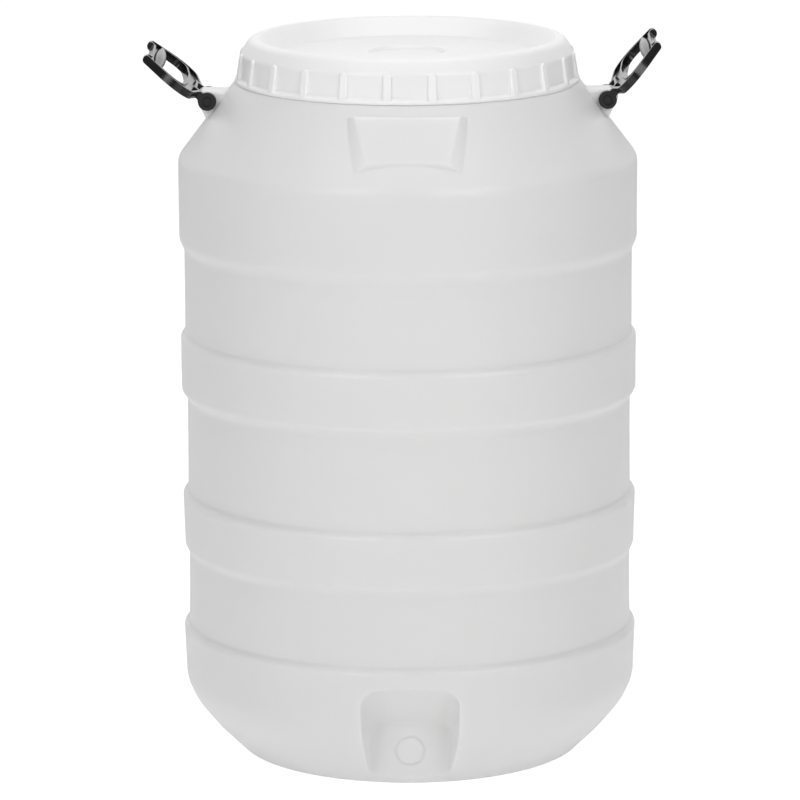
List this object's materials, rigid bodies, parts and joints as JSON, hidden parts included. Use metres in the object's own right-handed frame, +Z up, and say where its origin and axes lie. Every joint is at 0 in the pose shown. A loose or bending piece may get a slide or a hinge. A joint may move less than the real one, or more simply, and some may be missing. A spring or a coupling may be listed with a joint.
{
  "type": "plastic fermenting bucket",
  "caption": "Wide-neck plastic fermenting bucket with a ribbed screw lid, swing handles on pins at its shoulder, and a recessed pad for a tap low at the front.",
  "frame": {"origin": "centre of the ring that the drum stands on, at floor level", "axes": "+Z up along the drum's axis; -Y is the front, where the tap recess is; the pivots of the handles lie in the XZ plane"},
  "size_m": [0.4471, 0.4012, 0.6319],
  "materials": {
    "drum": "satin, slightly translucent natural white",
    "lid": "satin white",
    "gasket": "matte",
    "handles": "glossy black",
    "pins": "glossy black"
  },
  "bodies": {
    "drum": {"drum_body": "drum", "pivot_pin_left": "pins", "pivot_pin_right": "pins"},
    "gasket": {"lid_gasket": "gasket"},
    "lid": {"screw_lid": "lid"},
    "left_handle": {"handle_left": "handles"},
    "right_handle": {"handle_right": "handles"}
  },
  "joints": [
    {"name": "lid_lift", "type": "slide", "parent": "drum", "child": "gasket", "axis": [0, 0, 1], "range_m": [0, 0.045]},
    {"name": "lid_turn", "type": "hinge", "parent": "gasket", "child": "lid", "pos_m": [0, 0, 0.61], "axis": [0, 0, 1], "range_deg": [0, 1350]},
    {"name": "left_handle_swing", "type": "hinge", "parent": "drum", "child": "left_handle", "pos_m": [-0.174, 0, 0.5781], "axis": [0, 1, 0], "range_deg": [-88.9, 69.1]},
    {"name": "right_handle_swing", "type": "hinge", "parent": "drum", "child": "right_handle", "pos_m": [0.174, 0, 0.5781], "axis": [0, -1, 0], "range_deg": [-100.4, 57.6]}
  ],
  "couplings": [
    {"joint": "lid_lift", "follows": "lid_turn", "m_per_rad": 0.0019099}
  ]
}
